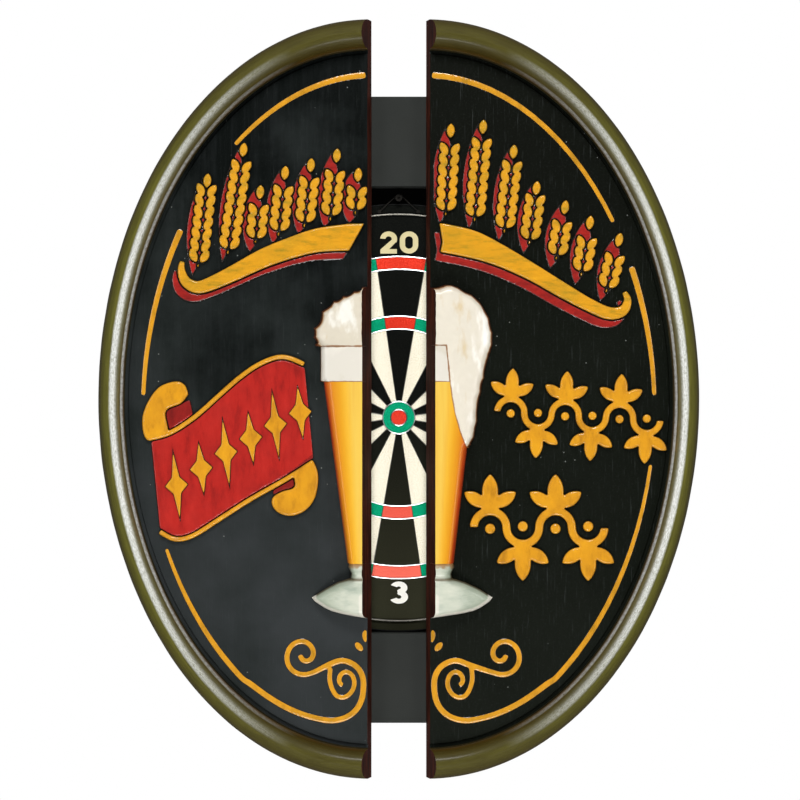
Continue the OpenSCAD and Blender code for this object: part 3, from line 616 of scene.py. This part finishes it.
def glass_loops(side, node, islands):
    """Outlines of one piece of the glass, and the segments of all the pieces round it."""
    loops, others = [], []
    for each in (f"{side}_foam", f"{side}_beer", f"{side}_glass_foot"):
        for p in outline(each, front=False):
            p = np.column_stack([SIDES[side] * p[:, 0] - GAP, p[:, 1]])
            mine = each == node and (islands is None or islands(p))
            (loops if mine else others).append(p)
    return loops, segments([divided(p, 2 * MM) for p in others])


def barrel(u, half_w, crown):
    """Height in mm of a barrel whose axis lies on the saw cut, at u metres from it."""
    radius = (half_w ** 2 + crown ** 2) / (2 * crown)
    return np.sqrt(np.maximum(radius ** 2 - (u / MM) ** 2, 0)) - (radius - crown)


def edge_distances(points, parts, meeting, low_line):
    """Distances in mm to the free edges, to the joints with other pieces, and to the edges below a line."""
    on_saw = (parts[:, 0] < SAW_LINE) & (parts[:, 2] < SAW_LINE)
    joint = (distance((parts[:, :2] + parts[:, 2:]) / 2, meeting) < 0.9 * MM) & ~on_saw
    low = (parts[:, 1] < low_line) & (parts[:, 3] < low_line)
    return [distance(points, parts[kind]) / MM if kind.any() else np.full(len(points), FAR)
            for kind in (~joint & ~on_saw, joint, low)]


def reach_at(parts, z):
    """Furthest u of the outline at height z."""
    low, high = np.minimum(parts[:, 1], parts[:, 3]), np.maximum(parts[:, 1], parts[:, 3])
    hit = parts[(low <= z + 1e-6) & (high >= z - 1e-6)]
    rise = hit[:, 3] - hit[:, 1]
    t = np.clip((z - hit[:, 1]) / np.where(abs(rise) < 1e-12, 1, rise), 0, 1)
    return (hit[:, 0] + (hit[:, 2] - hit[:, 0]) * t).max()


def glass_height(u, v, d, d_joint, crown, half_w, round_w, lump=0.0, ridge=None, seated=False):
    """Height in mm of the glass above the panel. d and d_joint are the distances to its edges and joints.
    A seated piece runs down to the beer at its joints."""
    h = np.maximum(barrel(u, half_w, crown), 0.8) * dome(d, round_w)
    if lump:
        spots = np.column_stack([u, v])
        bumps = 0.6 * wobble(spots, LUMPS, 7.7) + 0.4 * wobble(spots, LUMPS * 2.3, 2.2)
        h = h + lump * (bumps - 0.25) * dome(d, round_w)
    if ridge:
        h = h + ridge(v / MM) * dome(d, 3)
    if seated:
        seat = np.maximum(barrel(u, BARREL_W, BARREL_H), 0.8) * dome(d, 8) + 0.5
        h = seat + (h - seat) * dome(d_joint, 9)
    return np.clip(h, 0.4, (RIM_T - PANEL_T) / MM)


def carve_glass(name, node, side, slot, paint, crown, half_w, round_w, islands=None, lobes=None,
                low_line=-1.0, wall=None, **form):
    """Part of the half glass: rounded like a barrel whose axis lies on the saw cut, and sawn off there.
    Edges that meet another piece of the glass are not rounded."""
    loops, meeting = glass_loops(side, node, islands)
    if lobes is not None:
        loops = [scalloped(p, meeting, *lobes) for p in loops]
    points, triangles, border, parts = filled(loops, 1.6 * MM)
    d, d_joint, d_low = edge_distances(points, parts, meeting, low_line)
    v = points[:, 1]
    heights = np.linspace(v.min(), v.max(), 300)
    whole = np.vstack([parts, meeting])
    reach = np.interp(v, heights, [reach_at(whole, z) for z in heights])

    def raised(u):
        return glass_height(u, v, d, d_joint, crown, half_w, round_w, **form)

    start = LEAN * (PANEL_T + raised(np.zeros(len(v))) * MM)
    squeeze = np.clip((reach - start) / np.maximum(reach - LEAN * PANEL_T, 1e-6), 0.05, 1)
    u = reach - (reach - points[:, 0]) * squeeze
    h = raised(u)
    on_cut = points[:, 0] < SAW_LINE
    u = np.where(on_cut, LEAN * (PANEL_T + h * MM), u)
    top = [door_point(side, a, b, PANEL_T + c * MM) for a, b, c in zip(u, v, h)]
    bottom = [door_point(side, a, b, PANEL_T) for a, b in points]
    n = len(points)
    chosen = [0] * (2 * len(triangles)) + [int(on_cut[a] and on_cut[b]) for a, b in border]
    side_wall = reach if wall is None else wall(v / MM) * MM
    inward = np.clip((side_wall - u) / np.maximum(side_wall, 1e-6), 0, 1)
    shading = {"edge_mm": (d, 0), "joint_mm": (d_joint, 0), "low_mm": (d_low, FAR), "inward": (inward, 0)}
    return make_piece(name, top + bottom, solid_faces(triangles, border, n), [paint, SAWN_WOOD],
                      f"{side}_door", (node,), chosen, sharp=50,
                      attributes={key: np.append(a, np.full(n, b)) for key, (a, b) in shading.items()})


# ---- doors ----

STATIONS = 180
RIM_GAP = 0.1 * MM                    # clearance of the rim round the panel


def oval_row(side, a, c, depth, count=STATIONS):
    """Points along half an oval at one depth, both ends on the leaning saw cut."""
    t0 = math.asin(LEAN * depth / a)
    angles = [t0 + (math.pi - 2 * t0) * i / count for i in range(count + 1)]
    return [door_point(side, a * math.sin(t), c * math.cos(t), depth) for t in angles]


def swept(rows):
    """Faces between rows of equal length, each joined to the next."""
    n = len(rows[0])
    return [(k * n + i, k * n + i + 1, (k + 1) * n + i + 1, (k + 1) * n + i)
            for k in range(len(rows) - 1) for i in range(n - 1)]


def rim_section():
    """(share of the width, height in mm) round the rim's section, from the outside of its back."""
    outer = [(0.5 * (1 - math.cos(a)), 9 + 23 * math.sin(a)) for a in np.linspace(0, math.pi / 2, 16)]
    inner = [(0.5 + 0.45 * math.sin(a), 12.5 + 19.5 * math.cos(a))
             for a in np.linspace(0.1, math.pi / 2, 16)]
    return [(0, 0), (0, 3), (0, 6)] + outer + inner + [(0.962, 12.1), (1, 12), (1, 0)]


def build_rim(side):
    """The half-round rim, its section swept round half the oval. The inner slope has the lacquered paint
    with its painted highlight.
    """
    section = rim_section()
    wide, tall = OVAL_A - PANEL_A - RIM_GAP, OVAL_C - PANEL_C - RIM_GAP
    rows = [oval_row(side, OVAL_A - f * wide, OVAL_C - f * tall, h * MM) for f, h in section]
    points = [p for row in rows for p in row]
    hand = wobble([(p[0] + 0.3 * p[1], p[2]) for p in points], 38, 9.0)
    points = [(x + SIDES[side] * 0.25 * MM * w if 0 < section[k // (STATIONS + 1)][0] < 0.95 else x, y, z)
              for k, ((x, y, z), w) in enumerate(zip(points, hand))]
    n = STATIONS + 1
    faces = swept(rows + [rows[0]])
    total = len(points)
    faces = [tuple(i % total for i in f) for f in faces]
    chosen = [1 if section[k][0] > 0.44 and section[k][1] > 12.2 else 0 for k in range(len(rows))
              for _ in range(STATIONS)]
    for end in (0, STATIONS):
        faces.append(tuple(k * n + end for k in range(len(rows))))
        chosen.append(2)
    length = (OVAL_A + OVAL_C) / 2 * math.pi
    uv = [(i / STATIONS * length, f) for f, _ in section for i in range(n)]
    # side_share is 1 along the sides and 0 at the top and bottom; it fades the painted highlight and the
    # coat, and sets the painted shade
    share = [min(1, max(0, 1.5 * math.sin(math.pi * i / STATIONS) - 0.42))
             for _ in section for i in range(n)]
    return make_piece(f"{side}_rim_moulding", points, faces, RIM_PAINT + [SAWN_WOOD], f"{side}_door",
                      (f"{side}_rim",), chosen, uv=uv, attributes={"side_share": share})


def build_panel(side):
    """The half-oval panel with the groove and fine step that run round it inside the rim."""
    section = [(0, 0), (0, 11), (3.2, 11), (4.4, 12.8), (5.2, PANEL_T / MM)]
    rows = [oval_row(side, PANEL_A - o * MM, PANEL_C - o * MM, h * MM) for o, h in section]
    points = [p for row in rows for p in row]
    n = STATIONS + 1
    faces = swept(rows)
    chosen = [0] * len(faces)
    last = (len(rows) - 1) * n
    faces.append(tuple(range(last, last + n)))
    faces.append(tuple(range(n - 1, -1, -1)))
    chosen += [0, 0]
    corners = [k * n for k in range(len(rows))]
    faces.append(tuple(corners + [k + STATIONS for k in reversed(corners)]))
    chosen.append(1)
    return make_piece(f"{side}_panel_board", points, faces, [PANEL_PAINT[side], SAWN_WOOD], f"{side}_door",
                      (f"{side}_panel",), chosen, sharp=20)


# ---- dart board wires ----

def ring_mesh(points, faces, centre, radius, wire, around, about=8):
    """Adds a wire ring that lies flat to the board; wire is the wire's own radius."""
    first = len(points)
    for i in range(around):
        a = 2 * math.pi * i / around
        for k in range(about):
            b = 2 * math.pi * k / about
            r = radius + wire * math.cos(b)
            offset = (r * math.sin(a), -wire * math.sin(b), r * math.cos(a))
            points.append(tuple(c + o for c, o in zip(centre, offset)))
    for i in range(around):
        this, after = first + i * about, first + (i + 1) % around * about
        for k in range(about):
            beside = (k + 1) % about
            faces.append((this + k, this + beside, after + beside, after + k))


def rod_mesh(points, faces, start, end, wire, about=8):
    """Adds a straight wire with closed ends."""
    first = len(points)
    axis = (end - start).normalized()
    across = axis.cross(Vector((0, 1, 0))).normalized()
    for p in (start, end):
        for k in range(about):
            b = 2 * math.pi * k / about
            points.append(tuple(p + across * wire * math.cos(b) + Vector((0, 1, 0)) * wire * math.sin(b)))
    for k in range(about):
        beside = first + (k + 1) % about
        faces.append((first + k, beside, beside + about, first + k + about))
    faces.append(tuple(first + k for k in range(about - 1, -1, -1)))
    faces.append(tuple(first + about + k for k in range(about)))


BOARD_TURN = math.radians(0.8)        # how far the board hangs out of true
SECTORS = 20
BULL_R, OUTER_BULL_R, TREBLE_R, DOUBLE_R, BED_W = 8.5 * MM, 17 * MM, 107 * MM, 170 * MM, 13.5 * MM


def build_spider():
    """Round wires over the beds' edges, and thinner, duller wires between the sectors."""
    face_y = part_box("black_beds")[0].y
    wire = 0.6 * MM
    points, faces = [], []
    centre = BULL + Vector((0, face_y - wire * 0.6, 0))
    for radius in (BULL_R, OUTER_BULL_R, TREBLE_R - BED_W, TREBLE_R, DOUBLE_R - BED_W, DOUBLE_R):
        ring_mesh(points, faces, centre, radius, wire, 72 if radius < 20 * MM else 200)
    chosen = [0] * len(faces)
    for i in range(SECTORS):
        a = BOARD_TURN + math.radians(18 * i + 9)
        ray = Vector((math.sin(a), 0, math.cos(a)))
        rod_mesh(points, faces, centre + ray * OUTER_BULL_R, centre + ray * DOUBLE_R, wire * 0.6)
    chosen += [1] * (len(faces) - len(chosen))
    return make_piece("spider_wires", points, faces, [WIRE, DULL_WIRE], "frame",
                      ("spider",), chosen)


def build_number_ring():
    """The round wire that the numbers hang on."""
    lo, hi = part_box("number_ring")
    points, faces = [], []
    centre = BULL + Vector((0, (lo.y + hi.y) / 2, 0))
    ring_mesh(points, faces, centre, (hi.x - lo.x) / 2 - 1.2 * MM, 0.9 * MM, 240)
    return make_piece("number_ring_wire", points, faces, [DULL_WIRE], "frame",
                      ("number_ring",))


# ---- build everything ----

RIM_PAINT = [rim_paint("rim_olive", False), rim_paint("rim_olive_polished", True)]
# the left copy is painted lighter than the right as painted sheen; both doors carry the same black paint
PANEL_PAINT = {"left": panel_paint("panel_left", "050807", "1b1f1e", "2b2e2f", 0.12),
               "right": panel_paint("panel_right", "080a06", "0a0d08", "0f120d", 0.25)}
SAWN_WOOD = sawn_wood()
WIRE = metal("wire_steel", "b4b7ba", "dfe2e4", (0.22, 0.4))
DULL_WIRE = metal("dull_wire", "55534e", "7d7a72", (0.4, 0.6))
DARK_WIRE = metal("dark_wire", "1d1c1a", "2e2c29", (0.5, 0.7))
GOLD = painted("gold_paint", "8f7416", "c08614", "c98f18", line_mm=0.9, streak=(50, 50, 200),
               turn=0.5, coat=0.5)
GOLD_LINE = painted("gold_line", "9a6d12", "bc8216", "c68c1c", line_mm=0.5, streak=(90, 70, 40), coat=0.4)
GOLD_WARM = painted("gold_warm", "a36d12", "c28615", "cb9018", line_mm=0.9, streak=(90, 70, 40),
                    turn=0.2, coat=0.5)
RED = painted("red_paint", "661210", "871712", "9c2018", line_mm=1.5, streak=(60, 60, 170),
              turn=-0.5, coat=0.6)
BANNER_RED = painted("banner_red", "7d1411", "9b1c16", "a6231c", line_mm=0.8, streak=(90, 60, 26),
                     turn=0.3, coat=0.3)
BANNER_DARK = painted("banner_dark", "590f0d", "741512", "841a16", line_mm=0.8, streak=(90, 60, 26),
                      turn=0.3)
# crease and light colours: painted shade in the foam's hollows and painted highlights on its lumps
FOAM = {"left": foam_paint("foam_left", "b9a888", "c1b9a8", "d6d3ca", 55, 0.0005, 4.6, (1, 1, 0.5)),
        "right": foam_paint("foam_right", "c0af90", "c9c2b3", "dedbd3", 55, 0.0005, 3.4, (1, 1, 0.35))}
COLLAR = foam_paint("foam_collar", "bcb5a6", "c6c1b6", "cdc8bd", 24, 0.0003, 1.2)
BEER = beer_paint()
FOOT = foot_paint()
LOBES = {"left": (15, 2.6, 57, 116), "right": (22, 1.2, -60, 116)}
COLLAR_TOP = 60 * MM                  # the collar ends below this height, and the head rises above it


def stem_ridge(v):
    """Height in mm of the ring round the glass's stem, and of the crease under it."""
    return 1.6 * np.exp(-((v + 180.5) / 4) ** 4) - 1.8 * np.exp(-((v - STEM_CREASE_Z / MM) / 2) ** 2)


def glass_wall(v):
    """How far in mm the tapered glass reaches from the saw cut."""
    return 49.8 + (v - 18) * 0.12


def is_head(loop):
    """Tells an outline of the foam's head from one of its collar."""
    return loop[:, 1].max() > COLLAR_TOP


def banner_fold(centres):
    """Picks the dark red for the two small folds behind the cloth, inside the curls."""
    u, v = -centres[:, 0] / MM - GAP / MM, centres[:, 2] / MM
    upper = (u > 180) & (v > -24 - (u - 200) * 0.72)
    lower = (u < 106) & (v < -72 - (u - 80) * 0.75)
    return (upper | lower).astype(int)


def build_glass(side):
    """Foot, beer, foam head, and the pale collar between beer and head."""
    foot, beer, foam = f"{side}_glass_foot", f"{side}_beer", f"{side}_foam"
    carve_glass(f"{side}_glass_base", foot, side, "foot_grey", FOOT, BARREL_H, 78, 9,
                ridge=stem_ridge, low_line=-206 * MM)
    carve_glass(f"{side}_glass_beer", beer, side, "beer_amber", BEER, BARREL_H, BARREL_W, 8, wall=glass_wall)
    carve_glass(f"{side}_foam_head", foam, side, "foam_cream", FOAM[side], 19, 80, 8,
                islands=is_head, lobes=LOBES[side], lump=1.8, seated=True)
    carve_glass(f"{side}_foam_collar", foam, side, "foam_cream", COLLAR, BARREL_H, BARREL_W, 7,
                islands=lambda loop: not is_head(loop))


for side in SIDES:
    build_rim(side)
    build_panel(side)
    door = f"{side}_door"
    carve(f"{side}_gold_line", f"{side}_pinstripe", door, [GOLD_LINE], 1.2, 2.6,
          wall=0.3, step=1.6, sway=0.1)
    carve(f"{side}_barley_crest", f"{side}_crest", door, [GOLD], 4.0, 2.8, step=1.2)
    carve(f"{side}_red_shadow", f"{side}_crest_shadow", door, [RED], 1.6, 1.4,
          wall=0.4, step=1.6, sway=0.1)
    build_glass(side)

carve("banner_cloth", "banner", "left_door", [BANNER_RED, BANNER_DARK], 2.0, 1.2,
      wall=0.8, step=1.6, sway=0.3, small=banner_fold)
carve("banner_edging", "banner_curls", "left_door", [GOLD_WARM], 4.0, 3.2, step=1.3)
carve("banner_star_row", "banner_stars", "left_door", [GOLD_WARM], 2.0, 2.2, wall=0.4,
      step=1.0, sway=0.1, rounds=1)
carve("right_vine", "vine", "right_door", [GOLD_WARM], 4.0, 3.0, step=1.2)
build_spider()
build_number_ring()

FINISHES = {
    "slide_steel": metal("slide_steel", "8f9499", "c3c7ca", (0.28, 0.45), (20, 300, 300)),
    "screw_steel": metal("screw_steel", "8a8d90", "b9bcbf", (0.25, 0.45), (200, 200, 200)),
    "ball_steel": metal("ball_steel", "c6c9cc", "eceef0", (0.08, 0.2), (60, 60, 60), 0.00001),
    "wire_steel": WIRE,
    "band_steel": coated("band_steel", "0a0a0b", "131414", (0.45, 0.65), specular=0.2),
    "brass_screw": DARK_WIRE,
    "plate_steel": coated("plate_steel", "4a4d50", "5c6063", (0.4, 0.6)),
    "grey_cover": coated("grey_cover", "222422", "272927", (0.55, 0.7), specular=0.1),
    # the black back panel is painted dark grey, lighter than its black paint, as painted light in the shaded
    # recess between the doors
    "black_panel": coated("black_panel", "2a2b26", "34352f", (0.5, 0.7), 300, 0.00015, 0.2),
    "black_wood": coated("black_wood", "080808", "101010", (0.5, 0.7), 260, 0.0002, 0.2),
    "chipboard": sisal("chipboard", "4a3824", "6e563a", "8d7350"),
    "sisal_black": sisal("sisal_black", "060706", "0b0d0b", "171814", low="2a2a1e"),
    "sisal_cream": sisal("sisal_cream", "dfd6b8", "f3ecd6", "f9f4e4"),
    "sisal_red": sisal("sisal_red", "b92416", "de3522", "ec4f3b", low="f06f5e"),
    "sisal_green": sisal("sisal_green", "00704b", "009b6c", "1cb086"),
    "numeral_cream": coated("numeral_cream", "c5b98a", "d2c79e", (0.45, 0.6), specular=0.2),
}
NUMERAL_WHITE = coated("numeral_white", "e6e4da", "f3f1ea", (0.45, 0.6), specular=0.2)
NODE_SLOTS = {row["node"]: row["material_slot"] for row in frame["record"]["subparts"]}
BEVEL_MM = {"slide_steel": 0.25, "grey_cover": 0.5, "black_wood": 0.8, "black_panel": 1.2,
            "plate_steel": 0.4}


def bevelled(node, width):
    """Eases the node's sharp edges."""
    weld = node.modifiers.new("weld", "WELD")
    weld.merge_threshold = 1e-5
    bevel = node.modifiers.new("bevel", "BEVEL")
    bevel.width = width
    bevel.segments = 2
    bevel.limit_method = "ANGLE"
    bevel.angle_limit = math.radians(40)


def paint_numerals(node):
    """The numbers of the board's lower half are whiter."""
    node.data.materials.append(NUMERAL_WHITE)
    for face in node.data.polygons:
        face.material_index = int(face.center.z < BULL.z)


def finish_node(name, node):
    """Gives a CAD node that still shows its material and eased edges."""
    slot = NODE_SLOTS[name]
    node.data.materials.clear()
    node.data.materials.append(DARK_WIRE if name == "hanger_wire" else FINISHES[slot])
    if name == "numerals":
        paint_numerals(node)
    if slot in BEVEL_MM:
        bevelled(node, BEVEL_MM[slot] * MM)


for name, node in NODES.items():
    if not node.hide_render:
        finish_node(name, node)


# ---- stage, light and camera ----

CAMERA_Y = -2.5
VIEW_W = 834.4 * MM                   # width of the view at the doors' front
DOOR_FRONT = 80 * MM
SENSOR = 36                           # the camera's film width in mm
FLOOR_Z = -1.75
FLOOR_HALF = 5


def build_floor():
    """A pale floor well below the object, which hangs on a wall."""
    corners = [(-FLOOR_HALF, -FLOOR_HALF), (FLOOR_HALF, -FLOOR_HALF), (FLOOR_HALF, FLOOR_HALF),
               (-FLOOR_HALF, FLOOR_HALF)]
    mesh = bpy.data.meshes.new("floor")
    mesh.from_pydata([(x, y, FLOOR_Z) for x, y in corners], [], [(0, 1, 2, 3)])
    mesh.materials.append(coated("floor_pale", "dcdcda", "e6e6e4", (0.7, 0.8), 40, 0.0001))
    floor = bpy.data.objects.new("floor", mesh)
    bpy.context.scene.collection.objects.link(floor)


def build_world():
    """White behind the object; as light it is soft, and dimmer from the camera's side."""
    world = bpy.data.worlds.new("studio")
    bpy.context.scene.world = world
    world.use_nodes = True
    tree = world.node_tree
    sky = tree.nodes["Background"]
    split = tree.nodes.new("ShaderNodeSeparateXYZ")
    tree.links.new(tree.nodes.new("ShaderNodeTexCoord").outputs["Generated"], split.inputs[0])
    shade = tree.nodes.new("ShaderNodeMapRange")
    shade.inputs["From Min"].default_value = -1.0
    shade.inputs["From Max"].default_value = 0.2
    shade.inputs["To Min"].default_value = 0.10
    shade.inputs["To Max"].default_value = 0.45
    tree.links.new(split.outputs["Y"], shade.inputs["Value"])
    tree.links.new(shade.outputs["Result"], sky.inputs["Strength"])
    sky.inputs["Color"].default_value = (1, 1, 1, 1)
    bright = tree.nodes.new("ShaderNodeBackground")
    bright.inputs["Color"].default_value = (1, 1, 1, 1)
    choose = tree.nodes.new("ShaderNodeMixShader")
    tree.links.new(tree.nodes.new("ShaderNodeLightPath").outputs["Is Camera Ray"], choose.inputs[0])
    tree.links.new(sky.outputs[0], choose.inputs[1])
    tree.links.new(bright.outputs[0], choose.inputs[2])
    tree.links.new(choose.outputs[0], tree.nodes["World Output"].inputs["Surface"])


def softbox(name, place, width, height, power):
    """A rectangular light that faces the object's origin."""
    light = bpy.data.lights.new(name, "AREA")
    light.shape = "RECTANGLE"
    light.size = width
    light.size_y = height
    light.energy = power
    lamp = bpy.data.objects.new(name, light)
    bpy.context.scene.collection.objects.link(lamp)
    lamp.location = place
    lamp.rotation_euler = (-Vector(place)).to_track_quat("-Z", "Y").to_euler()


def build_camera():
    """A long lens square to the doors, level with the middle of the closed oval."""
    camera = bpy.data.objects.new("camera", bpy.data.cameras.new("camera"))
    bpy.context.scene.collection.objects.link(camera)
    camera.location = (1.25 * MM, CAMERA_Y, -1.0 * MM)
    camera.rotation_euler = (math.pi / 2, 0, 0)
    camera.data.sensor_width = SENSOR
    camera.data.lens = SENSOR * (-CAMERA_Y - DOOR_FRONT) / VIEW_W
    bpy.context.scene.camera = camera


build_floor()
build_world()
softbox("left_box", (-1.75, -1.4, 0.1), 0.5, 1.7, 15)
softbox("right_box", (1.75, -1.4, 0.1), 0.5, 1.7, 15)
softbox("top_box", (0.0, -1.6, 2.1), 1.0, 0.6, 62)
softbox("low_fill", (0.0, -1.5, -1.6), 1.2, 0.5, 32)
build_camera()
bpy.context.scene.view_settings.view_transform = "Standard"
